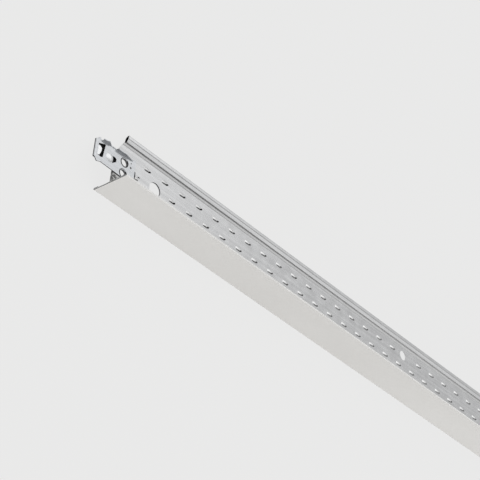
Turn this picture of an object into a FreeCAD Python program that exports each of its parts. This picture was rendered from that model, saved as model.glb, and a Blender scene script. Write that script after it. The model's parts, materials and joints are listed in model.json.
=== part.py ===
import FreeCAD, Part
import math
import os

# Driving dimensions in millimetres.
# Worked out first on a tee that stands on its flange: X along the tee with 0 at the
# flange's left end, Y across it, Z up the web with 0 at the flange's painted face.
grid_module = 600.0          # centre to centre of the main runners that it spans
flange_width = 24.0
tee_height = 34.9
strip = 0.4                  # galvanised strip of the body, folded double in the web
cap_sheet = 0.4              # painted strip that is hemmed round the flange
hem_leg = 2.6                # straight part of the hem on top of the flange
lip_gap = 0.1                # between the flange's edge and the inside of the hem

bulb_width = 3.3
bulb_side = 31.5             # height where the bulb's straight sides begin
bulb_corner = 1.2            # rounded top corners
shoulder_round = 0.4         # where a shoulder turns into a side
bead_height = 32.0           # small groove rolled along each side of the bulb
bead_half = 0.25
bead_depth = 0.2
ledge_width = 2.3            # flat underside of the bulb, from which the shoulders slope out
neck_width = 1.2             # the two layers part a little below the bulb
neck_low = 27.5
neck_high = 29.8             # height of the bulb's underside
neck_step = 0.2              # height over which the layers part and close again
neck_gap = 0.4               # closed again from here up to the underside
web_root = 0.5               # inside bend between web and flange

notch_height = 19.8          # the web's end slants back from here up to the bulb
web_setback = 5.5            # of the web's end on the near side, just under the bulb
bulb_setback_low = 6.4       # of the bulb's end on the near side, at its underside
bulb_setback_high = 7.4      # of the bulb's end, at its top
end_slant = 0.2              # the notch is cut a little out of square, mm along for each mm across

pull_hole_radius = 4.25      # round hole near each end of the web
pull_hole_from_end = 31.7
pull_hole_height = 14.1
wire_hole_radius = 3.2       # one hole for a hanger wire
wire_hole_from_end = 258.5
wire_hole_height = 22.4

clip_sheet = 0.5             # spring steel, folded back round the end of the web
clip_nose = -14.2            # tip of the fold, past the flange's end
clip_tail = 15.2
clip_return = 3.0            # how far the far leaf comes back from the nose
clip_top = 21.4
clip_bottom = 7.0
clip_hole_radius = 2.35      # two holes through the near leaf and the web
clip_hole_x = 7.2
clip_hole_heights = (9.85, 16.9)
dome_x = -3.4                # latch: a round dome pressed out of the near leaf, open to the right
dome_height = 13.7
dome_radius = 4.3
dome_rise = 0.9
dome_open = -1.3

flange_length = grid_module - flange_width
mid_length = flange_length / 2
web_half = strip
flange_thick = 2 * cap_sheet + strip
hem_radius = flange_thick / 2
hem_centre = flange_width / 2 - hem_radius
lip_half = hem_centre + hem_radius - cap_sheet - lip_gap
bulb_half = bulb_width / 2
ledge_half = ledge_width / 2
neck_half = neck_width / 2
far_out = 50.0               # longer than any cut has to reach


def point(x, y, z):
    return FreeCAD.Vector(x, y, z)


def rounded_face(corners, place):
    """Face of a closed outline. A corner is (u, v) or (u, v, radius)."""
    edges = []
    spans = []
    count = len(corners)
    for i, corner in enumerate(corners):
        here = FreeCAD.Vector(corner[0], corner[1], 0)
        before = FreeCAD.Vector(*corners[i - 1][:2], 0)
        after = FreeCAD.Vector(*corners[(i + 1) % count][:2], 0)
        radius = corner[2] if len(corner) == 3 else 0
        to_before = (before - here).normalize()
        to_after = (after - here).normalize()
        if radius == 0:
            spans.append((here, None, here))
            continue
        half_turn = to_before.getAngle(to_after) / 2
        setback = radius / math.tan(half_turn)
        inward = (to_before + to_after).normalize()
        crown = here + inward * (radius / math.sin(half_turn) - radius)
        spans.append((here + to_before * setback, crown, here + to_after * setback))
    for i, (start, crown, end) in enumerate(spans):
        if crown:
            edges.append(Part.Arc(place(start), place(crown), place(end)).toShape())
        following = spans[(i + 1) % count][0]
        if end.distanceToPoint(following) > 1e-6:
            edges.append(Part.LineSegment(place(end), place(following)).toShape())
    return Part.Face(Part.Wire(edges))


def section(corners):
    """Face across the tee, in Y and Z, at its left end."""
    return rounded_face(corners, lambda p: point(0, p.x, p.y))


def plate(corners, y_from, y_to):
    """Sheet with an outline in X and Z, from one Y to another."""
    face = rounded_face(corners, lambda p: point(p.x, y_from, p.y))
    return face.extrude(point(0, y_to - y_from, 0))


def shelf(corners, z_from, z_to):
    """Sheet with an outline in X and Y, from one Z to another."""
    face = rounded_face(corners, lambda p: point(p.x, p.y, z_from))
    return face.extrude(point(0, 0, z_to - z_from))


def cross_pin(radius, x, z, y_from, y_to):
    return Part.makeCylinder(radius, y_to - y_from, point(x, y_from, z), point(0, 1, 0))


def turned_end(shape):
    """The same thing at the other end, turned half round about the middle."""
    turned = shape.copy()
    turned.rotate(point(mid_length, 0, 0), point(0, 0, 1), 180)
    return turned


def make_tee_body():
    """One strip: flange lips, double web and hollow bulb, with the ends cut back."""
    half = [
        (lip_half, cap_sheet),
        (lip_half, cap_sheet + strip),
        (web_half, cap_sheet + strip, web_root),
        (web_half, neck_low),
        (neck_half, neck_low + neck_step),
        (neck_half, neck_high - neck_gap - neck_step),
        (web_half, neck_high - neck_gap),
        (web_half, neck_high),
        (ledge_half, neck_high),
        (bulb_half, bulb_side, shoulder_round),
        (bulb_half, bead_height - bead_half),
        (bulb_half - bead_depth, bead_height),
        (bulb_half, bead_height + bead_half),
        (bulb_half, tee_height, bulb_corner),
    ]
    other_half = [(-c[0], *c[1:]) for c in reversed(half)]
    hollow_half = bulb_half - strip
    hollow = [
        (ledge_half - strip, neck_high + strip),
        (hollow_half, bead_height - bead_half),
        (hollow_half - bead_depth, bead_height),
        (hollow_half, bead_height + bead_half),
        (hollow_half, tee_height - strip, bulb_corner - strip),
    ]
    hollow += [(-c[0], *c[1:]) for c in reversed(hollow)]
    along = point(flange_length, 0, 0)
    body = section(half + other_half).extrude(along).cut(section(hollow).extrude(along))

    past_end = -1
    web_shift = end_slant * (bulb_half - web_half)
    notch = [(past_end, notch_height), (-web_shift, notch_height),
             (web_setback - web_shift, neck_high - strip), (bulb_setback_low, neck_high),
             (bulb_setback_high, tee_height), (bulb_setback_high, tee_height + 1),
             (past_end, tee_height + 1)]
    near_shift = end_slant * (bulb_half - far_out)
    notch = rounded_face(notch, lambda p: point(p.x + near_shift, -far_out, p.y))
    notch = notch.extrude(point(2 * far_out * end_slant, 2 * far_out, 0))
    cuts = [notch, turned_end(notch)]
    web_hole = (-far_out, far_out)
    pull_hole = cross_pin(pull_hole_radius, pull_hole_from_end, pull_hole_height, *web_hole)
    cuts += [pull_hole, turned_end(pull_hole)]
    cuts.append(cross_pin(wire_hole_radius, wire_hole_from_end, wire_hole_height, *web_hole))
    for z in clip_hole_heights:
        hole = cross_pin(clip_hole_radius, clip_hole_x, z, *web_hole)
        cuts += [hole, turned_end(hole)]
    return body.cut(cuts)


def make_flange_cap():
    """Flat painted face with its two edges rolled over the flange."""
    def arc(y_centre, y_crown, z_from, z_to):
        return Part.Arc(point(0, y_centre, z_from), point(0, y_crown, hem_radius),
                        point(0, y_centre, z_to)).toShape()

    def run(a, b):
        return Part.LineSegment(point(0, *a), point(0, *b)).toShape()

    inside = hem_radius - cap_sheet
    top = flange_thick
    under_leg = flange_thick - cap_sheet
    leg_end = hem_centre - hem_leg
    edges = [run((-hem_centre, 0), (hem_centre, 0))]
    edges.append(arc(hem_centre, hem_centre + hem_radius, 0, top))
    edges.append(run((hem_centre, top), (leg_end, top)))
    edges.append(run((leg_end, top), (leg_end, under_leg)))
    edges.append(run((leg_end, under_leg), (hem_centre, under_leg)))
    edges.append(arc(hem_centre, hem_centre + inside, under_leg, cap_sheet))
    edges.append(run((hem_centre, cap_sheet), (-hem_centre, cap_sheet)))
    edges.append(arc(-hem_centre, -hem_centre - inside, cap_sheet, under_leg))
    edges.append(run((-hem_centre, under_leg), (-leg_end, under_leg)))
    edges.append(run((-leg_end, under_leg), (-leg_end, top)))
    edges.append(run((-leg_end, top), (-hem_centre, top)))
    edges.append(arc(-hem_centre, -hem_centre - hem_radius, top, 0))
    return Part.Face(Part.Wire(edges)).extrude(point(flange_length, 0, 0))


def make_end_clip():
    """Spring clip: a leaf on the near side of the web, folded back at the nose."""
    leaf_in = web_half
    leaf_out = web_half + clip_sheet
    fold_x = clip_nose + leaf_out
    fold_low = 7.4
    fold_high = 20.0
    return_low = 9.2         # the far leaf and its half of the fold end higher
    bump_top = clip_top + 0.4
    dip = clip_top - 0.6
    ear_top = clip_top + 1.4
    corner = 0.6
    front = plate([
        (fold_x, fold_low), (fold_x, fold_high), (-12.7, 21.0), (-12.3, bump_top, 0.4),
        (-11.3, bump_top, 0.4), (-10.9, dip), (-9.7, dip), (-9.5, clip_top), (12.8, clip_top),
        (13.8, ear_top, corner), (clip_tail, ear_top, corner), (clip_tail, clip_bottom, corner),
        (-9.3, 7.6), (-12.1, 6.5),
    ], -leaf_out, -leaf_in)
    back = plate([
        (fold_x, fold_low), (fold_x, fold_high), (-12.4, clip_top), (clip_return, clip_top, corner),
        (clip_return, return_low, corner),
    ], leaf_in, leaf_out)

    fold_height = fold_high - fold_low
    foot = point(fold_x, 0, fold_low)
    fold = Part.makeCylinder(leaf_out, fold_height, foot)
    fold = fold.cut(Part.makeCylinder(leaf_in, fold_height, foot))
    fold = fold.common(Part.makeBox(leaf_out, 2 * leaf_out, fold_height,
                                    point(clip_nose, -leaf_out, fold_low)))

    window_left = -12.2
    window = plate([(window_left, 10.6), (-9.6, 10.3, 0.3), (-8.3, 11.0, 0.3), (-7.3, 19.6, 0.4),
                    (window_left, 17.8)], -far_out, -leaf_in)
    latch_gap = plate([(dome_open, 11.3), (-0.4, 12.2, 0.3), (1.3, 13.5, 0.5), (1.4, 15.4, 0.5),
                       (0.2, 16.0, 0.4), (dome_open, 16.0)], -far_out, -leaf_in)

    # Latch: a shell cut from a ball, on the near leaf's outside.
    ball_centre = point(dome_x, dome_radius - dome_rise - leaf_out, dome_height)
    ball_inside = Part.makeSphere(dome_radius - clip_sheet, ball_centre)
    dome = Part.makeSphere(dome_radius, ball_centre).cut(ball_inside)
    dome = dome.common(Part.makeBox(far_out, far_out, 2 * far_out,
                                    point(dome_open - far_out, -leaf_in - far_out, -far_out)))
    front = front.cut([window, latch_gap, ball_inside])

    # Spring tongue with a rounded end: it starts at the window's left and leans out to its right.
    tongue_tip = -9.9
    tongue_lean = 0.6
    tongue = shelf([(window_left, -leaf_in), (window_left, -leaf_out), (tongue_tip, -leaf_out - tongue_lean),
                    (tongue_tip, -leaf_in - tongue_lean)], 0, tee_height)
    tongue = tongue.common(plate([(window_left - 1, 16.8), (-11.2, 16.5, 0.5), (-10.1, 15.3, 0.8),
                                  (-10.2, 13.3, 1.5), (-11.1, 10.7, 0.3), (window_left - 1, 10.7)],
                                 -far_out, 0))

    # Lip along the top edge, with the barb that catches behind the runner's slot.
    lip = [(-9.4, 0), (-10.1, 1.6), (-8.4, 1.8), (-6.9, 2.5), (-5.0, 1.4), (-3.6, 0.5), (0.4, 0.5),
           (0.9, 1.9), (6.4, 1.9), (9.4, 1.2), (12.6, 0.6), (12.6, 0)]
    lip = shelf([(x, -leaf_in - clip_sheet / 2 - reach) for x, reach in lip],
                clip_top - clip_sheet, clip_top)

    clip = front.fuse([back, fold, tongue, dome, lip])
    chamfer = plate([(clip_nose - 1, 10.19), (-11.9, 6.26), (-11.9, 5.0), (clip_nose - 1, 5.0)],
                    -far_out, far_out)
    far_trim = Part.makeBox(far_out, far_out, return_low, point(clip_nose - 1, 0, 0))
    holes = [cross_pin(clip_hole_radius, clip_hole_x, z, -far_out, 0) for z in clip_hole_heights]
    return clip.cut(holes + [chamfer, far_trim]).removeSplitter()


# The tee is laid on its side, on one hem of the flange and one top corner of the bulb.
# The lean is that of the line that touches both round corners.
corner_y = bulb_half - bulb_corner
corner_z = tee_height - bulb_corner
reach_y = hem_centre - corner_y
reach_z = corner_z - hem_radius
lean = math.acos((bulb_corner - hem_radius) / math.hypot(reach_y, reach_z)) - math.atan2(reach_z, reach_y)
y_low = -math.sin(lean) * hem_centre + math.cos(lean) * hem_radius - hem_radius
y_high = math.sin(lean) * corner_y + math.cos(lean) * corner_z + bulb_corner
z_floor = -math.cos(lean) * hem_centre - math.sin(lean) * hem_radius - hem_radius


def laid_down(shape):
    """From the standing tee to the part's own frame, on the floor and centred."""
    laid = shape.copy()
    laid.rotate(point(0, 0, 0), point(1, 0, 0), -90 - math.degrees(lean))
    laid.translate(point(-mid_length, -(y_low + y_high) / 2, -z_floor))
    return laid


os.makedirs("parts", exist_ok=True)
left_clip = make_end_clip()
nodes = {
    "tee_body": make_tee_body(),
    "flange_cap": make_flange_cap(),
    "left_end_clip": left_clip,
    "right_end_clip": turned_end(left_clip),
}
for name, shape in nodes.items():
    laid = laid_down(shape)
    laid.exportStep(f"parts/{name}.step")
    box = laid.BoundBox
    print(name, shape.isValid(), len(shape.Solids), round(shape.Volume, 1),
          [round(v, 2) for v in (box.XMin, box.XMax, box.YMin, box.YMax, box.ZMin, box.ZMax)])
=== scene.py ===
import bmesh
import bpy
import json
import math
from mathutils import Matrix, Quaternion, Vector


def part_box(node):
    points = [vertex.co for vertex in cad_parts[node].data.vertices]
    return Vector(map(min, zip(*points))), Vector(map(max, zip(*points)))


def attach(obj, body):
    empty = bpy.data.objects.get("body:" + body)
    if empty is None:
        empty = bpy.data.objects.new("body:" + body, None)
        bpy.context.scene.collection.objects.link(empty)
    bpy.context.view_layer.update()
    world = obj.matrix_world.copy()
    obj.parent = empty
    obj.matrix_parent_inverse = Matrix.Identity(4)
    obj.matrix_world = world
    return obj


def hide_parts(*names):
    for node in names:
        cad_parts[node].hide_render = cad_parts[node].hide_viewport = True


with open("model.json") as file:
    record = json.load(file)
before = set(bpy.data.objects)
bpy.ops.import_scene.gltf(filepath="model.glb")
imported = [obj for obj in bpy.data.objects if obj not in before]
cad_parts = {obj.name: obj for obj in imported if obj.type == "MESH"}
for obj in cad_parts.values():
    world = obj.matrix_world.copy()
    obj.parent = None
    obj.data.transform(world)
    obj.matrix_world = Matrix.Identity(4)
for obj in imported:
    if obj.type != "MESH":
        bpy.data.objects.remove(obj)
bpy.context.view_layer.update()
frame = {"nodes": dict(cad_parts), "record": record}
print("frame loaded:", sorted(frame["nodes"]))

# the tee's own axes, in mm from the left end of its flange: x along, y away from the side seen, z up the web
mounts = {mount["name"]: mount for mount in frame["record"]["mounts"]}
upWeb = -Vector(mounts["flange_face"]["axis"])
nearSide = Vector(mounts["wire_hole"]["axis"])
flangeLow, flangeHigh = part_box("flange_cap")
flangeLength = (flangeHigh.x - flangeLow.x) * 1000
faceMiddle = Vector(mounts["flange_face"]["pos_m"])
leftEnd = Vector((flangeLow.x, faceMiddle.y, faceMiddle.z))
teeToRow = Matrix.Identity(4)
for column, axis in enumerate((Vector((1, 0, 0)), -nearSide, upWeb)):
    for row in range(3):
        teeToRow[row][column] = axis[row] * 0.001
for row in range(3):
    teeToRow[row][3] = leftEnd[row]
rowToTee = teeToRow.inverted()


def teePlace(mountName):
    return rowToTee @ Vector(mounts[mountName]["pos_m"])


def atEnd(turned, x, y, z):      # a place at the left end, or the same at the right end, turned half round
    return Vector((flangeLength - x, -y, z)) if turned else Vector((x, y, z))


def newFinish(name):
    material = bpy.data.materials.new(name)
    material.use_nodes = True
    tree = material.node_tree
    return material, tree, tree.nodes["Principled BSDF"]


def patternFrom(tree, stretch=(1, 1, 1)):
    coords = tree.nodes.new("ShaderNodeTexCoord")
    mapping = tree.nodes.new("ShaderNodeMapping")
    mapping.inputs["Scale"].default_value = stretch
    tree.links.new(coords.outputs["Object"], mapping.inputs["Vector"])
    return mapping.outputs["Vector"]


def noiseOn(tree, scale, detail=3.0, stretch=(1, 1, 1)):
    noise = tree.nodes.new("ShaderNodeTexNoise")
    noise.inputs["Scale"].default_value = scale
    noise.inputs["Detail"].default_value = detail
    tree.links.new(patternFrom(tree, stretch), noise.inputs["Vector"])
    return noise.outputs["Fac"]


def rampOf(tree, fac, dark, light, low=0.3, high=0.7):
    ramp = tree.nodes.new("ShaderNodeValToRGB")
    ramp.color_ramp.elements[0].position = low
    ramp.color_ramp.elements[1].position = high
    ramp.color_ramp.elements[0].color = (*dark, 1)
    ramp.color_ramp.elements[1].color = (*light, 1)
    tree.links.new(fac, ramp.inputs["Fac"])
    return ramp.outputs["Color"]


def stopsRamp(tree, fac, stops):
    ramp = tree.nodes.new("ShaderNodeValToRGB")
    elements = ramp.color_ramp.elements
    for i, (position, level) in enumerate(stops):
        stop = elements[i] if i < 2 else elements.new(position)
        stop.position = position
        stop.color = (level, level, level, 1)
    tree.links.new(fac, ramp.inputs["Fac"])
    return ramp.outputs["Color"]


def rangeOf(tree, fac, low, high, fromLow=0.3, fromHigh=0.7):
    span = tree.nodes.new("ShaderNodeMapRange")
    span.inputs["From Min"].default_value = fromLow
    span.inputs["From Max"].default_value = fromHigh
    span.inputs["To Min"].default_value = low
    span.inputs["To Max"].default_value = high
    tree.links.new(fac, span.inputs["Value"])
    return span.outputs["Result"]


def mathOn(tree, operation, first, second=None):
    node = tree.nodes.new("ShaderNodeMath")
    node.operation = operation
    for socket, value in zip(node.inputs, (first, second)):
        if isinstance(value, (int, float)):
            socket.default_value = value
        elif value:
            tree.links.new(value, socket)
    return node.outputs[0]


def mixColours(tree, fac, first, second, blend="MIX"):
    mix = tree.nodes.new("ShaderNodeMix")
    mix.data_type = "RGBA"
    mix.blend_type = blend
    if isinstance(fac, float):
        mix.inputs["Factor"].default_value = fac
    else:
        tree.links.new(fac, mix.inputs["Factor"])
    tree.links.new(first, mix.inputs["A"])
    tree.links.new(second, mix.inputs["B"])
    return mix.outputs["Result"]


def bumpFrom(tree, shader, fac, strength, distance):
    bump = tree.nodes.new("ShaderNodeBump")
    bump.inputs["Strength"].default_value = strength
    bump.inputs["Distance"].default_value = distance
    tree.links.new(fac, bump.inputs["Height"])
    tree.links.new(bump.outputs["Normal"], shader.inputs["Normal"])


def shadeNearEnds(tree, look):      # painted shade in the corner of web and flange, under each clip
    coords = tree.nodes.new("ShaderNodeTexCoord")
    ragged = rangeOf(tree, noiseOn(tree, look["raggedScale"]), -look["ragged"], look["ragged"])
    masks = []
    for turned in (False, True):
        away = tree.nodes.new("ShaderNodeVectorMath")
        away.operation = "DISTANCE"
        away.inputs[1].default_value = teeToRow @ atEnd(turned, *look["centre"])
        tree.links.new(coords.outputs["Object"], away.inputs[0])
        reach = mathOn(tree, "ADD", away.outputs["Value"], ragged)
        masks.append(rangeOf(tree, reach, look["strength"], 0.0, look["radius"] * look["core"], look["radius"]))
    return mathOn(tree, "MAXIMUM", *masks)


# what all the sheet metals share: streaks along the tee, clouds of zinc and small flakes
grainLook = {"streakStretch": (12, 700, 700), "streakScale": 1.0, "streakDetail": 4.0, "streakDepth": 0.0001,
             "cloudDetail": 2.0, "cloudDark": 0.90, "flakeDark": 0.88, "flakeReach": 0.8}


def sheetMetal(name, look):
    material, tree, shader = newFinish(name)
    streaks = noiseOn(tree, grainLook["streakScale"], grainLook["streakDetail"], grainLook["streakStretch"])
    clouds = noiseOn(tree, look["cloudScale"], grainLook["cloudDetail"])
    spangle = tree.nodes.new("ShaderNodeTexVoronoi")
    spangle.inputs["Scale"].default_value = look["spangleScale"]
    tree.links.new(patternFrom(tree), spangle.inputs["Vector"])
    grey = rampOf(tree, streaks, look["dark"], look["light"])
    mottle = rampOf(tree, clouds, (grainLook["cloudDark"],) * 3, (1.0,) * 3)
    colour = mixColours(tree, look["mottle"], grey, mottle, "MULTIPLY")
    flakes = rampOf(tree, spangle.outputs["Distance"], (1.0,) * 3, (grainLook["flakeDark"],) * 3,
                    0.0, grainLook["flakeReach"])
    colour = mixColours(tree, look["spangle"], colour, flakes, "MULTIPLY")
    # the corner patch is painted shade in the corner of web and flange, under each clip
    if "cornerShade" in look:
        cornerShade = look["cornerShade"]
        cornerShadeColour = rampOf(tree, noiseOn(tree, cornerShade["speckScale"]), cornerShade["dark"], cornerShade["light"], *cornerShade["speckRange"])
        colour = mixColours(tree, shadeNearEnds(tree, cornerShade), colour, cornerShadeColour)
    tree.links.new(colour, shader.inputs["Base Color"])
    shader.inputs["Metallic"].default_value = look["metallic"]
    tree.links.new(rangeOf(tree, clouds, *look["roughness"]), shader.inputs["Roughness"])
    bumpFrom(tree, shader, streaks, look["bump"], grainLook["streakDepth"])
    return material


# galvanised steel gets a patch of painted shade in the corner of web and flange, under each clip
galvanisedLook = {"dark": (0.63, 0.634, 0.640), "light": (0.75, 0.754, 0.760), "mottle": 0.6, "spangle": 0.5,
                  "cloudScale": 160.0, "spangleScale": 260.0, "metallic": 0.9, "roughness": (0.18, 0.28),
                  "bump": 0.08,
                  "cornerShade": {"centre": (1.6, 0.0, 4.0), "radius": 0.0052, "core": 0.8, "ragged": 0.0012,
                           "raggedScale": 700.0, "speckScale": 520.0, "speckRange": (0.43, 0.57), "strength": 0.9,
                           "dark": (0.05, 0.05, 0.048), "light": (0.46, 0.46, 0.45)}}
springLook = {"dark": (0.615, 0.63, 0.65), "light": (0.715, 0.73, 0.75), "mottle": 0.5, "spangle": 0.2,
              "cloudScale": 240.0, "spangleScale": 700.0, "metallic": 0.9, "roughness": (0.24, 0.34),
              "bump": 0.06}
# painted highlight: a lighter steel for the proud fronts of the clip's dome and tongue
highlightLook = {"dark": (0.80, 0.81, 0.82), "light": (0.88, 0.89, 0.90), "mottle": 0.3, "spangle": 0.1,
              "cloudScale": 400.0, "spangleScale": 900.0, "metallic": 0.9, "roughness": (0.22, 0.30),
              "bump": 0.05}
# near-black painted shade: the bulb's open end, the clip's nose fold, the undersides of sheared edges and the shaded
# sides of the collars
blackShadeLook = {"dark": (0.035, 0.035, 0.036), "light": (0.07, 0.07, 0.072), "mottle": 0.5, "spangle": 0.2,
               "cloudScale": 500.0, "spangleScale": 900.0, "metallic": 0.5, "roughness": (0.55, 0.70),
               "bump": 0.1}
# dark grey of bare cut steel, darkened further as painted shade: sawn and sheared edges, hole walls, stake marks and
# the outer slopes of the collars
cutEdgeShadeLook = {"dark": (0.18, 0.18, 0.185), "light": (0.24, 0.24, 0.245), "mottle": 0.6, "spangle": 0.3,
               "cloudScale": 500.0, "spangleScale": 900.0, "metallic": 0.7, "roughness": (0.45, 0.60),
               "bump": 0.2}
galvanisedSteel = sheetMetal("galvanisedSteel", galvanisedLook)
springSteel = sheetMetal("springSteel", springLook)
rubbedSteel = sheetMetal("rubbedSteel", highlightLook)
bulbEnd = sheetMetal("bulbEnd", blackShadeLook)
cutEdge = sheetMetal("cutEdge", cutEdgeShadeLook)

# near-black painted shade for hollows, gaps, shallow shadow cuts and the backs of domes
gapShadeLook = {"dark": (0.010, 0.010, 0.011), "light": (0.035, 0.035, 0.037), "dustScale": 900.0, "roughness": 0.8,
           "specular": 0.1}


def makeGapShade():
    material, tree, shader = newFinish("darkGap")
    dust = noiseOn(tree, gapShadeLook["dustScale"])
    tree.links.new(rampOf(tree, dust, gapShadeLook["dark"], gapShadeLook["light"]), shader.inputs["Base Color"])
    shader.inputs["Roughness"].default_value = gapShadeLook["roughness"]
    shader.inputs["Specular IOR Level"].default_value = gapShadeLook["specular"]
    return material


darkGap = makeGapShade()

# pockets, flanks and crests of the stitches, the neck and the ledge: painted shade and painted highlight that change
# along the tee, darker near its ends and lighter towards its middle; a stop is a share of the way from the end to
# the middle, and the tone there
toneLook = {"dustScale": 900.0, "dustDetail": 3.0, "dustStretch": (0.3, 1, 1), "specular": 0.1}
pocketShadeTone = {"stops": ((0.0, 0.010), (0.15, 0.018), (0.25, 0.09), (0.365, 0.26), (0.64, 0.50), (0.97, 0.60)),
              "speck": 0.7, "metallic": 0.5, "roughness": 0.6}
flankShadeTone = {"stops": ((0.0, 0.12), (0.20, 0.14), (0.365, 0.25), (0.64, 0.40), (0.97, 0.48)), "speck": 0.8,
             "metallic": 0.7, "roughness": 0.45}
crestHighlightTone = {"stops": ((0.0, 0.64), (0.20, 0.72), (0.365, 0.86), (0.64, 0.86), (0.97, 0.90)), "speck": 0.94,
             "metallic": 0.9, "roughness": 0.24}
neckShadeTone = {"stops": ((0.0, 0.55), (0.20, 0.56), (0.365, 0.64), (0.64, 0.70), (0.97, 0.76)), "speck": 0.9,
            "metallic": 0.9, "roughness": 0.28}
ledgeLightTone = {"stops": ((0.0, 0.62), (0.20, 0.62), (0.365, 0.70), (0.64, 0.82), (0.97, 0.95)), "speck": 0.9,
             "metallic": 0.9, "roughness": 0.28}


def tonedSteel(name, look):
    material, tree, shader = newFinish(name)
    coords = tree.nodes.new("ShaderNodeTexCoord")
    split = tree.nodes.new("ShaderNodeSeparateXYZ")
    tree.links.new(coords.outputs["Object"], split.inputs["Vector"])
    inwards = rangeOf(tree, mathOn(tree, "ABSOLUTE", split.outputs["X"]), 0.0, 1.0, flangeLength / 2000, 0.0)
    tone = stopsRamp(tree, inwards, look["stops"])
    specks = noiseOn(tree, toneLook["dustScale"], toneLook["dustDetail"], toneLook["dustStretch"])
    dust = rampOf(tree, specks, (look["speck"],) * 3, (1.0,) * 3)
    tree.links.new(mixColours(tree, 1.0, tone, dust, "MULTIPLY"), shader.inputs["Base Color"])
    shader.inputs["Metallic"].default_value = look["metallic"]
    shader.inputs["Roughness"].default_value = look["roughness"]
    shader.inputs["Specular IOR Level"].default_value = toneLook["specular"]
    return material


# pocket, flank and neck tones are painted shade, the crest tone is a painted highlight, the ledge tone is painted
# shade near the ends and painted sheen towards the middle
pocketShade = tonedSteel("pocketShade", pocketShadeTone)
flankSteel = tonedSteel("flankSteel", flankShadeTone)
crestSteel = tonedSteel("crestSteel", crestHighlightTone)
neckSteel = tonedSteel("neckSteel", neckShadeTone)
ledgeSteel = tonedSteel("ledgeSteel", ledgeLightTone)

paintLook = {"dark": (0.685, 0.672, 0.650), "light": (0.735, 0.724, 0.702), "edge": (0.035, 0.035, 0.035),
             "edgeSpeck": 1.3, "edgeShare": 0.9, "rim": (0.93, 0.925, 0.91), "rimSpeck": 0.97, "rimShare": 0.6,
             "cloudScale": 22.0, "cloudDetail": 4.0, "cloudStretch": (0.4, 1, 1), "roughness": (0.42, 0.52),
             "peelScale": 1100.0, "peelDetail": 2.0, "peel": 0.05, "peelDepth": 0.00005}


def makePaint():
    material, tree, shader = newFinish("whitePaint")
    clouds = noiseOn(tree, paintLook["cloudScale"], paintLook["cloudDetail"], paintLook["cloudStretch"])
    peel = noiseOn(tree, paintLook["peelScale"], paintLook["peelDetail"])
    paint = rampOf(tree, clouds, paintLook["dark"], paintLook["light"])
    geometry = tree.nodes.new("ShaderNodeNewGeometry")
    split = tree.nodes.new("ShaderNodeSeparateXYZ")      # the sawn ends are bare steel, painted nearly black partly as shade
    tree.links.new(geometry.outputs["True Normal"], split.inputs["Vector"])
    endwards = mathOn(tree, "ABSOLUTE", split.outputs["X"])
    sawn = mathOn(tree, "GREATER_THAN", endwards, paintLook["edgeShare"])
    bareShade = rampOf(tree, peel, paintLook["edge"], [c * paintLook["edgeSpeck"] for c in paintLook["edge"]])
    sideways = tree.nodes.new("ShaderNodeVectorMath")      # painted highlight on the hem's rounded edges
    sideways.operation = "DOT_PRODUCT"
    sideways.inputs[1].default_value = nearSide
    tree.links.new(geometry.outputs["True Normal"], sideways.inputs[0])
    rounded = mathOn(tree, "ABSOLUTE", sideways.outputs["Value"])
    rimSheen = rampOf(tree, peel, [c * paintLook["rimSpeck"] for c in paintLook["rim"]], paintLook["rim"])
    paint = mixColours(tree, mathOn(tree, "GREATER_THAN", rounded, paintLook["rimShare"]), paint, rimSheen)
    tree.links.new(mixColours(tree, sawn, paint, bareShade), shader.inputs["Base Color"])
    tree.links.new(rangeOf(tree, clouds, *paintLook["roughness"]), shader.inputs["Roughness"])
    bumpFrom(tree, shader, peel, paintLook["peel"], paintLook["peelDepth"])
    return material


whitePaint = makePaint()
print("finishes made")

# meshes are worked on in the tee's mm and settle into the row's metres at the end
meshLook = {"mergeMm": 0.002, "flatDeg": 0.5}


def linked(name, data):
    piece = bpy.data.objects.new(name, data)
    bpy.context.scene.collection.objects.link(piece)
    return piece


def copyOfNode(name, node):
    mesh = frame["nodes"][node].data.copy()
    mesh.transform(rowToTee)
    body = bmesh.new()
    body.from_mesh(mesh)
    bmesh.ops.remove_doubles(body, verts=body.verts, dist=meshLook["mergeMm"])
    flat = math.radians(meshLook["flatDeg"])
    bmesh.ops.dissolve_limit(body, angle_limit=flat, verts=body.verts, edges=body.edges)
    body.to_mesh(mesh)
    body.free()
    mesh.materials.clear()
    return linked(name, mesh)


def loftRings(name, rings, materials):
    shape = bmesh.new()
    loops = [[shape.verts.new(p) for p in ring] for ring in rings]
    count = len(rings[0])
    for here, after in zip(loops, loops[1:]):
        for i in range(count):
            shape.faces.new((here[i], here[(i + 1) % count], after[(i + 1) % count], after[i]))
    shape.faces.new(loops[0])
    shape.faces.new(list(reversed(loops[-1])))
    bmesh.ops.recalc_face_normals(shape, faces=shape.faces)
    mesh = bpy.data.meshes.new(name)
    shape.to_mesh(mesh)
    shape.free()
    for material in materials:
        mesh.materials.append(material)
    return linked(name, mesh)


def plainMesh(piece):
    graph = bpy.context.evaluated_depsgraph_get()
    mesh = bpy.data.meshes.new_from_object(piece.evaluated_get(graph))
    piece.modifiers.clear()
    old = piece.data
    piece.data = mesh
    bpy.data.meshes.remove(old)
    shape = bmesh.new()      # slivers that the cuts leave are closed up
    shape.from_mesh(mesh)
    bmesh.ops.remove_doubles(shape, verts=shape.verts, dist=meshLook["mergeMm"])
    bmesh.ops.dissolve_degenerate(shape, edges=shape.edges, dist=meshLook["mergeMm"])
    shape.to_mesh(mesh)
    shape.free()
    return mesh


def cutWith(piece, tools):
    for tool in tools:
        cut = piece.modifiers.new(tool.name, "BOOLEAN")
        cut.operation = "DIFFERENCE"
        cut.solver = "EXACT"
        cut.material_mode = "TRANSFER"
        cut.object = tool


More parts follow.
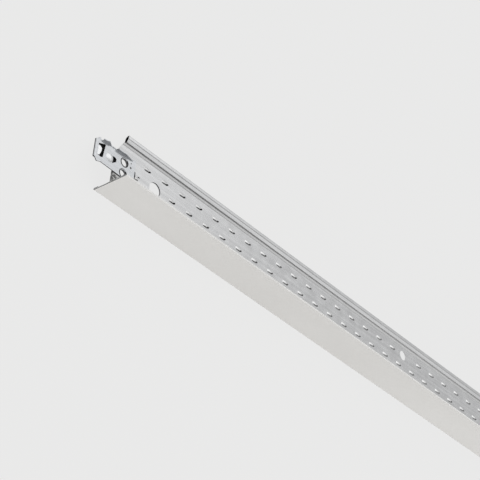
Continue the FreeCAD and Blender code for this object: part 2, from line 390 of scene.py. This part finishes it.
def slotsOf(mesh, finishes):
    indexOf = {material.name: i for i, material in enumerate(mesh.materials) if material}
    for finish in finishes:
        if finish.name not in indexOf:
            indexOf[finish.name] = len(mesh.materials)
            mesh.materials.append(finish)
    return indexOf


def joinInto(mesh, piece, indexOf):
    shape = bmesh.new()
    shape.from_mesh(mesh)
    before = len(shape.faces)
    shape.from_mesh(piece.data)
    shape.faces.ensure_lookup_table()
    for face in shape.faces[before:]:
        face.material_index = indexOf[piece.data.materials[face.material_index].name]
    shape.to_mesh(mesh)
    shape.free()


def settle(piece, smoothAngle, flatArea):
    mesh = piece.data
    shape = bmesh.new()
    shape.from_mesh(mesh)
    for face in shape.faces:
        face.smooth = True
    for edge in shape.edges:      # creases stay sharp, and so does the rim of every large flat face
        flat = any(face.calc_area() > flatArea for face in edge.link_faces)
        edge.smooth = not flat and edge.calc_face_angle(math.pi) < math.radians(smoothAngle)
    shape.to_mesh(mesh)
    shape.free()
    mesh.transform(teeToRow)
    mesh.name = piece.name


def finishPiece(piece, node):
    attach(piece, "root")
    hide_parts(node)


# stitches that hold the web's two layers: a raised louvre, steep below, with painted shade on its underside and a
# painted highlight on its crest, a pocket at its open right end painted dark as shade, and a tongue pushed out
# behind
webLook = {"halfWeb": 0.4, "pitch": 13.92, "upperFirst": 24.6, "upperHeight": 22.4, "lowerFirst": 45.34,
           "lowerHeight": 14.2, "clear": 6.0, "endMargin": 17.0, "jitterDeg": 2.5, "seed": 7,
           "lipTop": 2.0, "slantFrom": 19.8, "slantReach": 9.0, "edgeReach": 4.5, "webTop": 27.0,
           "neckFrom": 27.0, "bulbFloor": 29.9, "ledgeTo": 30.9, "bulbHeart": 32.6, "beadHeight": 32.0,
           "beadHalf": 0.24, "edgeShare": 0.25, "facing": 0.5, "round": 35.0, "flatArea": 200.0}
# a station is a share of the length, then of the width and of the height or depth there
louvreStations = ((0.0, 0.45, 0.10), (0.12, 0.85, 0.52), (0.42, 1.0, 0.88), (0.72, 1.0, 1.0), (0.93, 0.95, 0.92),
                  (1.0, 0.85, 0.52))
louvreLook = {"from": -2.7, "to": 0.9, "halfWidth": 1.15, "lift": 0.12, "rise": 0.64, "sunk": 0.15,
              "shadedBelow": -0.45, "highlightTo": 0.30, "stations": louvreStations,
              "section": ((-1.0, 0.0), (-0.60, 0.66), (0.06, 1.0), (0.60, 0.60), (1.0, 0.0))}
tongueLook = {"from": 0.2, "to": 3.3, "halfWidth": 1.1, "lift": 0.0, "rise": 0.4, "sunk": 0.15,
              "shadedBelow": -2.0, "highlightTo": -2.0, "stations": louvreStations,
              "section": ((-1.0, 0.0), (-0.62, 0.72), (0.0, 1.0), (0.62, 0.72), (1.0, 0.0))}
pocketLook = {"from": 0.45, "to": 2.75, "halfWidth": 0.55, "depth": 0.6, "out": 0.2, "slantDeg": 28.0, "lift": -0.2,
              "stations": ((0.0, 0.6, 0.9), (0.25, 1.0, 1.0), (0.75, 0.95, 1.0), (1.0, 0.55, 0.85))}


def archRing(x, look, width, height, sunk):
    middle = [(x, -height * share, look["lift"] + width * z) for z, share in look["section"]]
    first, last = middle[0], middle[-1]
    return [(x, sunk, first[2])] + middle + [(x, sunk, last[2])]


def makeLouvre(name, look, side):
    span = look["to"] - look["from"]
    rings = []
    for s, w, h in look["stations"]:
        ring = archRing(look["from"] + s * span, look, look["halfWidth"] * w, look["rise"] * h, look["sunk"])
        rings.append([(x, side * y, z) for x, y, z in ring])
    louvre = loftRings(name, rings, [galvanisedSteel, flankSteel, crestSteel])
    for polygon in louvre.data.polygons:      # plain at the open end, painted shade below, painted highlight elsewhere
        highlighted = 2 if polygon.normal.x < look["highlightTo"] else 0
        polygon.material_index = 1 if polygon.normal.z < look["shadedBelow"] else highlighted
    return louvre


def pocketRings(look):
    middle = (look["from"] + look["to"]) / 2
    span = look["to"] - look["from"]
    slant = math.radians(look["slantDeg"])
    rings = []
    for s, w, d in look["stations"]:
        along = (s - 0.5) * span
        ring = []
        for x, y, z in archRing(0.0, tongueLook, look["halfWidth"] * w, look["depth"] * d, look["out"]):
            ring.append((middle + along * math.cos(slant) - z * math.sin(slant), -y,
                         look["lift"] + along * math.sin(slant) + z * math.cos(slant)))
        rings.append(ring)
    return rings


def addNode(tree, kind, **settings):
    node = tree.nodes.new(kind)
    for key, value in settings.items():
        setattr(node, key, value)
    return node


def makeStitchTree():
    tree = bpy.data.node_groups.new("webStitches", "GeometryNodeTree")
    sockets = {}
    for name, kind in (("Web", "Geometry"), ("Louvre", "Object"), ("Pocket", "Object"), ("Tongue", "Object"),
                       ("Upper First", "Float"), ("Upper Height", "Float"), ("Upper Count", "Int"),
                       ("Lower First", "Float"), ("Lower Height", "Float"), ("Lower Count", "Int"),
                       ("Pitch", "Float"), ("Half Web", "Float"), ("Hole A", "Vector"), ("Hole B", "Vector"),
                       ("Hole C", "Vector"), ("Clear", "Float"), ("Jitter", "Float"), ("Seed", "Int"),
                       ("Steel", "Material"), ("Gap", "Material"), ("Shade", "Material"), ("Flank", "Material"),
                       ("Crest", "Material")):
        sockets[name] = tree.interface.new_socket(name, in_out="INPUT", socket_type="NodeSocket" + kind)
    tree.interface.new_socket("Stitched", in_out="OUTPUT", socket_type="NodeSocketGeometry")
    given = addNode(tree, "NodeGroupInput").outputs
    result = addNode(tree, "NodeGroupOutput").inputs[0]
    link = tree.links.new

    step = addNode(tree, "ShaderNodeCombineXYZ")
    link(given["Pitch"], step.inputs["X"])
    rows = addNode(tree, "GeometryNodeJoinGeometry")
    for level in ("Upper", "Lower"):
        start = addNode(tree, "ShaderNodeCombineXYZ")
        link(given[level + " First"], start.inputs["X"])
        link(given[level + " Height"], start.inputs["Z"])
        line = addNode(tree, "GeometryNodeMeshLine")
        link(given[level + " Count"], line.inputs["Count"])
        link(start.outputs[0], line.inputs["Start Location"])
        link(step.outputs[0], line.inputs["Offset"])
        link(line.outputs[0], rows.inputs[0])

    # no stitch where a hole is
    place = addNode(tree, "GeometryNodeInputPosition").outputs[0]
    nearest = None
    for hole in ("Hole A", "Hole B", "Hole C"):
        away = addNode(tree, "ShaderNodeVectorMath", operation="DISTANCE")
        link(place, away.inputs[0])
        link(given[hole], away.inputs[1])
        away = away.outputs["Value"]
        nearest = mathOn(tree, "MINIMUM", nearest, away) if nearest else away
    kept = addNode(tree, "GeometryNodeDeleteGeometry", domain="POINT")
    link(rows.outputs[0], kept.inputs["Geometry"])
    link(mathOn(tree, "LESS_THAN", nearest, given["Clear"]), kept.inputs["Selection"])

    turn = addNode(tree, "FunctionNodeRandomValue", data_type="FLOAT")
    floats = [socket for socket in turn.inputs if socket.type == "VALUE"]
    link(mathOn(tree, "MULTIPLY", given["Jitter"], -1), floats[0])
    link(given["Jitter"], floats[1])
    link(given["Seed"], turn.inputs["Seed"])
    spin = addNode(tree, "ShaderNodeCombineXYZ")
    link([socket for socket in turn.outputs if socket.type == "VALUE"][0], spin.inputs["Y"])

    def placed(name, side):
        shift = addNode(tree, "ShaderNodeCombineXYZ")
        link(mathOn(tree, "MULTIPLY", given["Half Web"], side), shift.inputs["Y"])
        moved = addNode(tree, "GeometryNodeSetPosition")
        link(kept.outputs[0], moved.inputs["Geometry"])
        link(shift.outputs[0], moved.inputs["Offset"])
        info = addNode(tree, "GeometryNodeObjectInfo")
        link(given[name], info.inputs["Object"])
        copies = addNode(tree, "GeometryNodeInstanceOnPoints")
        link(moved.outputs[0], copies.inputs["Points"])
        link(info.outputs["Geometry"], copies.inputs["Instance"])
        link(spin.outputs[0], copies.inputs["Rotation"])
        solid = addNode(tree, "GeometryNodeRealizeInstances")
        link(copies.outputs[0], solid.inputs[0])
        return solid.outputs[0]

    def isOf(name):
        picked = addNode(tree, "GeometryNodeMaterialSelection")
        link(given[name], picked.inputs["Material"])
        return picked.outputs[0]

    pierced = addNode(tree, "GeometryNodeMeshBoolean", operation="DIFFERENCE", solver="EXACT")
    link(given["Web"], pierced.inputs["Mesh 1"])
    link(placed("Pocket", -1), pierced.inputs["Mesh 2"])
    joined = addNode(tree, "GeometryNodeJoinGeometry")
    for part in (pierced.outputs["Mesh"], placed("Louvre", -1), placed("Tongue", 1)):
        link(part, joined.inputs[0])
    whole = addNode(tree, "GeometryNodeRealizeInstances")
    link(joined.outputs[0], whole.inputs[0])
    plain = None
    for name in ("Gap", "Shade", "Flank", "Crest"):
        other = addNode(tree, "FunctionNodeBooleanMath", operation="NOT")
        link(isOf(name), other.inputs[0])
        both = addNode(tree, "FunctionNodeBooleanMath", operation="AND")
        link(other.outputs[0], both.inputs[0])
        link(plain or other.outputs[0], both.inputs[1])
        plain = both.outputs[0]
    steel = addNode(tree, "GeometryNodeSetMaterial")
    link(whole.outputs[0], steel.inputs["Geometry"])
    link(plain, steel.inputs["Selection"])
    link(given["Steel"], steel.inputs["Material"])
    link(steel.outputs[0], result)
    return tree, sockets


def stitchWeb(piece, louvre, pocket, tongue):
    tree, sockets = makeStitchTree()
    modifier = piece.modifiers.new("stitches", "NODES")
    modifier.node_group = tree
    last = flangeLength - webLook["endMargin"]
    values = {"Louvre": louvre, "Pocket": pocket, "Tongue": tongue, "Pitch": webLook["pitch"],
              "Half Web": webLook["halfWeb"], "Hole A": teePlace("left_web_hole"),
              "Hole B": teePlace("right_web_hole"), "Hole C": teePlace("wire_hole"), "Clear": webLook["clear"],
              "Jitter": math.radians(webLook["jitterDeg"]), "Seed": webLook["seed"],
              "Steel": galvanisedSteel, "Gap": darkGap, "Shade": pocketShade, "Flank": flankSteel,
              "Crest": crestSteel}
    for level in ("Upper", "Lower"):
        first = webLook[level.lower() + "First"]
        values[level + " First"] = first
        values[level + " Height"] = webLook[level.lower() + "Height"]
        values[level + " Count"] = int((last - first) / webLook["pitch"]) + 1
    for key, value in values.items():
        modifier[sockets[key].identifier] = value


# painted shadow on the web: shallow cuts painted nearly black beside the clip's tail and behind the clip's latch
tailGap = {"depth": 0.25, "out": 0.2,
           "outline": ((15.0, 11.0), (16.7, 11.2), (16.6, 12.4), (16.2, 16.0), (15.5, 16.6), (15.4, 19.8),
                       (15.0, 19.8))}
latchGap = {"depth": 0.55, "out": 0.2, "outline": ((-0.3, 11.0), (2.4, 11.0), (2.4, 16.8), (-0.3, 16.8))}
# the stitch beside the left clip's tail is a smaller louvre with its pocket above it
tailLouvre = {**louvreLook, "from": -1.4, "to": 1.0, "halfWidth": 0.85, "lift": 0.0, "rise": 0.5,
              "x": 17.6, "z": 12.6}
# the tail stitch's pocket is painted nearly black as shade
tailPocket = {"depth": 0.5, "out": 0.2, "outline": ((18.1, 13.9), (19.7, 14.2), (20.0, 14.8), (18.4, 14.6))}


def makeShade(name, look, turned):
    rings = []
    for y in (-webLook["halfWeb"] - look["out"], -webLook["halfWeb"] + look["depth"]):
        rings.append([atEnd(turned, x, y, z) for x, z in look["outline"]])
    return loftRings(name, rings, [darkGap])


def makeTeeBody():
    body = copyOfNode("teeBody", "tee_body")
    body.data.materials.append(galvanisedSteel)
    louvre = makeLouvre("louvre", louvreLook, 1)
    pocket = loftRings("pocket", pocketRings(pocketLook), [pocketShade])
    tongue = makeLouvre("tongue", tongueLook, -1)
    shades = [makeShade(name, look, turned) for turned in (False, True)
              for name, look in (("tailGap", tailGap), ("latchGap", latchGap))]
    shades.append(makeShade("tailPocket", tailPocket, False))
    cutWith(body, shades)
    stitchWeb(body, louvre, pocket, tongue)
    mesh = plainMesh(body)
    indexOf = slotsOf(mesh, (galvanisedSteel, darkGap, cutEdge, bulbEnd, neckSteel, ledgeSteel, flankSteel,
                             crestSteel))
    tailStitch = makeLouvre("tailStitch", tailLouvre, 1)
    tailStitch.data.transform(Matrix.Translation((tailLouvre["x"], -webLook["halfWeb"], tailLouvre["z"])))
    joinInto(mesh, tailStitch, indexOf)
    for tool in [louvre, pocket, tongue, tailStitch] + shades:
        bpy.data.objects.remove(tool)
    wireHole = teePlace("wire_hole")
    for polygon in mesh.polygons:
        x, y, z = polygon.center
        fromEnd = min(x, flangeLength - x)
        normal = polygon.normal
        endwards = abs(normal.x) > webLook["facing"]
        edge = abs(normal.y) < webLook["edgeShare"] and polygon.material_index == indexOf["galvanisedSteel"]
        edge = edge and abs(x - wireHole.x) > webLook["clear"]      # the wire hole's wall is bright
        cutBack = fromEnd < webLook["edgeReach"] or (z > webLook["slantFrom"] and fromEnd < webLook["slantReach"])
        if z > webLook["bulbFloor"] and normal.y * -y + normal.z * (webLook["bulbHeart"] - z) > 0:
            polygon.material_index = indexOf["darkGap"]      # painted shade inside the hollow bulb
        elif z > webLook["bulbFloor"] and endwards:
            polygon.material_index = indexOf["bulbEnd"]      # rim of the bulb's open end, painted black as shade
        elif webLook["neckFrom"] < z < webLook["ledgeTo"] and -normal.z > webLook["facing"]:
            polygon.material_index = indexOf["ledgeSteel"]      # painted shade and sheen on the underside of the bulb and the ledge below it
        elif webLook["neckFrom"] < z < webLook["bulbFloor"] and abs(normal.y) > webLook["facing"]:
            polygon.material_index = indexOf["neckSteel"]      # painted shade on the neck between web and bulb
        elif abs(z - webLook["beadHeight"]) < webLook["beadHalf"]:
            polygon.material_index = indexOf["neckSteel"]      # painted shade in the groove along the bulb's side
        elif edge and endwards and z < webLook["lipTop"]:
            polygon.material_index = indexOf["cutEdge"]      # sawn ends of the flange, painted dark partly as shade
        elif edge and webLook["lipTop"] < z < webLook["webTop"] and not cutBack:
            polygon.material_index = indexOf["cutEdge"]      # walls of the holes, painted dark partly as shade
    settle(body, webLook["round"], webLook["flatArea"])
    finishPiece(body, "tee_body")
    return body


teeBody = makeTeeBody()
print("tee body stitched:", len(teeBody.data.polygons), "faces")

# end clips: coined collars round the holes, stake marks near the tail, a dark line of painted shade round the nose,
# and sheared edges with painted shade underneath; the shares say which way a face looks
clipLook = {"webHalf": 0.42, "leafOut": 0.9, "proud": 0.02, "top": 21.35, "lipFrom": 20.8, "lipOut": 1.0,
            "domeX": -3.4, "domeZ": 13.7, "domeReach": 2.75, "domeBack": 0.38, "tongueTo": -9.7,
            "gapShare": 0.9, "levelShare": 0.8, "backShare": 0.3, "frontShare": 0.5, "edgeShare": 0.35,
            "underShare": -0.3, "foldTo": -13.2, "foldShare": 0.15, "foldLevel": 0.1, "foldShadeFrom": -0.35,
            "foldShadeTo": 0.73, "round": 40.0, "flatArea": 1.2, "collarRound": 28,
            "collar": ((-0.02, -0.25), (0.02, 0.14), (0.24, 0.26), (0.50, 0.12), (0.60, -0.06), (0.30, -0.25)),
            "collarRim": 2, "shadedDeg": 160.0, "shadedShare": 0.35,
            "stakes": ((12.0, 16.2, 0.65), (12.0, 19.0, 0.4)), "stakeDepth": 0.28, "stakeRound": 10,
            "stakeSteps": ((1.15, -0.15), (1.0, 0.05), (0.45, 0.8), (0.2, 1.0))}


def makeStake(turned, x, z, size):
    turns = [k * math.pi / (clipLook["stakeRound"] / 2) for k in range(clipLook["stakeRound"])]
    rings = []
    for share, depth in clipLook["stakeSteps"]:
        y = -clipLook["leafOut"] + depth * clipLook["stakeDepth"]
        radius = size * share
        rings.append([atEnd(turned, x + radius * math.cos(turn), y, z + radius * math.sin(turn)) for turn in turns])
    return loftRings("stake", rings, [cutEdge])


def addCollar(shape, turned, hole, radius, steelIndex, edgeIndex, shadeIndex):
    count = clipLook["collarRound"]
    shadedTurn = math.radians(clipLook["shadedDeg"])
    loops = []
    for k in range(count):
        turn = 2 * math.pi * k / count
        loop = []
        for out, height in clipLook["collar"]:
            r = radius + out
            y = -clipLook["leafOut"] - height
            loop.append(shape.verts.new(atEnd(turned, hole.x + r * math.cos(turn), y, hole.z + r * math.sin(turn))))
        loops.append(loop)
    faces = []
    size = len(clipLook["collar"])
    for k in range(count):
        here, after = loops[k], loops[(k + 1) % count]
        facing = math.cos(2 * math.pi * (k + 0.5) / count - shadedTurn)
        for i in range(size):
            face = shape.faces.new((here[i], after[i], after[(i + 1) % size], here[(i + 1) % size]))
            outside = i >= clipLook["collarRim"]
            face.material_index = edgeIndex if outside else steelIndex
            if (facing if outside else -facing) > clipLook["shadedShare"]:      # painted shade outside left, inside right
                face.material_index = shadeIndex
            faces.append(face)
    bmesh.ops.recalc_face_normals(shape, faces=faces)


def makeEndClip(name, node, turned):
    clip = copyOfNode(name, node)
    mesh = clip.data
    indexOf = slotsOf(mesh, (springSteel, darkGap, cutEdge))
    for polygon in mesh.polygons:
        # faces in the gap between the leaves are painted black as shade
        inGap = abs(polygon.center.y) < clipLook["webHalf"] and abs(polygon.normal.y) > clipLook["gapShare"]
        polygon.material_index = indexOf["darkGap" if inGap else "springSteel"]
    stakes = [makeStake(turned, *stake) for stake in clipLook["stakes"]]
    cutWith(clip, stakes)
    mesh = plainMesh(clip)
    for stake in stakes:
        bpy.data.objects.remove(stake)
    indexOf = slotsOf(mesh, (springSteel, darkGap, cutEdge, rubbedSteel, bulbEnd))
    for polygon in mesh.polygons:
        if polygon.material_index != indexOf["springSteel"]:
            continue
        x, y, z = atEnd(turned, *polygon.center)
        normal = atEnd(turned, *polygon.normal) - atEnd(turned, 0, 0, 0)
        onTop = normal.z > clipLook["levelShare"] and z > clipLook["top"]
        onLip = z > clipLook["lipFrom"] and -y > clipLook["lipOut"] and abs(normal.z) > clipLook["levelShare"]
        fromDome = math.hypot(x - clipLook["domeX"], z - clipLook["domeZ"])
        inDome = fromDome < clipLook["domeReach"] and y < -clipLook["domeBack"]
        onTongue = x < clipLook["tongueTo"] and z < clipLook["lipFrom"]
        proud = -y > clipLook["leafOut"] + clipLook["proud"]
        onFold = x < clipLook["foldTo"] and -normal.x > clipLook["foldShare"]
        onFold = onFold and abs(normal.z) < clipLook["foldLevel"]
        # painted shade under the dome, painted highlight on the proud fronts of dome and tongue
        if inDome and normal.y > clipLook["backShare"]:
            polygon.material_index = indexOf["darkGap"]
        elif (inDome or onTongue) and proud and -normal.y > clipLook["frontShare"]:
            polygon.material_index = indexOf["rubbedSteel"]
        # painted shade on the nose fold
        elif onFold:
            if clipLook["foldShadeFrom"] < normal.y < clipLook["foldShadeTo"]:
                polygon.material_index = indexOf["bulbEnd"]
        # sheared edges painted dark, with painted shade on their undersides
        elif abs(normal.y) < clipLook["edgeShare"] and not onTop and not onLip:
            polygon.material_index = indexOf["bulbEnd" if normal.z < clipLook["underShare"] else "cutEdge"]
    finishes = [indexOf[finish] for finish in ("springSteel", "cutEdge", "bulbEnd")]
    shape = bmesh.new()
    shape.from_mesh(mesh)
    for mount in ("left_upper_clip_hole", "left_lower_clip_hole"):
        addCollar(shape, turned, teePlace(mount), mounts[mount]["dims"]["r_mm"], *finishes)
    shape.to_mesh(mesh)
    shape.free()
    settle(clip, clipLook["round"], clipLook["flatArea"])
    finishPiece(clip, node)
    return clip


leftClip = makeEndClip("leftEndClip", "left_end_clip", False)
rightClip = makeEndClip("rightEndClip", "right_end_clip", True)
print("clips made:", len(leftClip.data.polygons), "and", len(rightClip.data.polygons), "faces")

cap = frame["nodes"]["flange_cap"]
cap.data.materials.clear()
cap.data.materials.append(whitePaint)
print("flange painted")

# pale floor, studio sky that is brightest behind the tee, one soft lamp in front, and the photo's camera
stageLook = {"floorSize": 40.0, "floorColour": (0.80, 0.80, 0.80), "shown": (0.835, 0.835, 0.832), "showShare": 0.92,
             "skyStrength": 1.0,
             "softBoxes": (((0.0, 0.80, 0.60), ((0.0, 0.40), (0.50, 0.42), (0.70, 0.47), (0.84, 0.69), (0.885, 0.69),
                                                (0.8965, 0.72), (0.9055, 1.10), (0.9185, 1.12), (1.0, 1.12))),
                           ((0.62, 0.37, 0.69), ((0.0, 0.0), (0.962, 0.0), (0.985, 0.80), (0.9965, 0.95),
                                                 (1.0, 0.99))))}


def makeFloor():
    half = stageLook["floorSize"] / 2
    mesh = bpy.data.meshes.new("floor")
    mesh.from_pydata([(-half, -half, 0), (half, -half, 0), (half, half, 0), (-half, half, 0)], [], [(0, 1, 2, 3)])
    floor = linked("floor", mesh)
    material = bpy.data.materials.new("paleFloor")
    material.use_nodes = True
    tree = material.node_tree
    tree.nodes.clear()
    link = tree.links.new
    out = tree.nodes.new("ShaderNodeOutputMaterial")
    matt = tree.nodes.new("ShaderNodeBsdfDiffuse")
    matt.inputs["Color"].default_value = (*stageLook["floorColour"], 1)
    pale = tree.nodes.new("ShaderNodeEmission")
    pale.inputs["Color"].default_value = (*stageLook["shown"], 1)
    path = tree.nodes.new("ShaderNodeLightPath")
    seen = mathOn(tree, "MAXIMUM", path.outputs["Is Camera Ray"], path.outputs["Is Glossy Ray"])
    seen = mathOn(tree, "MAXIMUM", seen, path.outputs["Is Transmission Ray"])
    mix = tree.nodes.new("ShaderNodeMixShader")
    link(mathOn(tree, "MULTIPLY", seen, stageLook["showShare"]), mix.inputs[0])
    link(matt.outputs[0], mix.inputs[1])
    link(pale.outputs[0], mix.inputs[2])
    link(mix.outputs[0], out.inputs["Surface"])
    mesh.materials.append(material)


def makeSky():
    world = bpy.data.worlds.new("studio")
    bpy.context.scene.world = world
    world.use_nodes = True
    tree = world.node_tree
    link = tree.links.new
    back = tree.nodes["Background"]
    coords = tree.nodes.new("ShaderNodeTexCoord")
    whole = None
    for axis, stops in stageLook["softBoxes"]:
        towards = tree.nodes.new("ShaderNodeVectorMath")
        towards.operation = "DOT_PRODUCT"
        towards.inputs[1].default_value = Vector(axis).normalized()
        link(coords.outputs["Generated"], towards.inputs[0])
        lit = stopsRamp(tree, rangeOf(tree, towards.outputs["Value"], 0.0, 1.0, -1.0, 1.0), stops)
        whole = mixColours(tree, 1.0, whole, lit, "LIGHTEN") if whole else lit
    link(whole, back.inputs["Color"])
    back.inputs["Strength"].default_value = stageLook["skyStrength"]


lampLook = {"place": (1.6, -4.05, 1.05), "aim": (-0.05, 0.0, 0.0), "size": 1.8, "watts": 90.0}


def makeLamp():
    data = bpy.data.lights.new("frontLamp", "AREA")
    data.shape = "SQUARE"
    data.size = lampLook["size"]
    data.energy = lampLook["watts"]
    lamp = linked("frontLamp", data)
    lamp.location = lampLook["place"]
    lamp.rotation_mode = "QUATERNION"
    lamp.rotation_quaternion = (Vector(lampLook["aim"]) - lamp.location).to_track_quat("-Z", "Y")


cameraLook = {"place": (-0.74818, -0.32014, 0.65901), "forward": (0.6100, 0.3531, -0.7094), "leanDeg": 86.614,
              "lensMm": 123.164, "sensorMm": 36.0, "sightFrom": 0.01, "sightTo": 50.0}


def makeCamera():
    data = bpy.data.cameras.new("photoView")
    data.sensor_width = cameraLook["sensorMm"]
    data.lens = cameraLook["lensMm"]
    data.clip_start = cameraLook["sightFrom"]
    data.clip_end = cameraLook["sightTo"]
    camera = linked("photoView", data)
    camera.location = cameraLook["place"]
    camera.rotation_mode = "QUATERNION"
    level = Vector(cameraLook["forward"]).to_track_quat("-Z", "Y")
    camera.rotation_quaternion = level @ Quaternion((0, 0, 1), math.radians(cameraLook["leanDeg"]))
    bpy.context.scene.camera = camera


makeFloor()
makeSky()
makeLamp()
makeCamera()
bpy.context.scene.view_settings.view_transform = "Standard"
print("stage set")
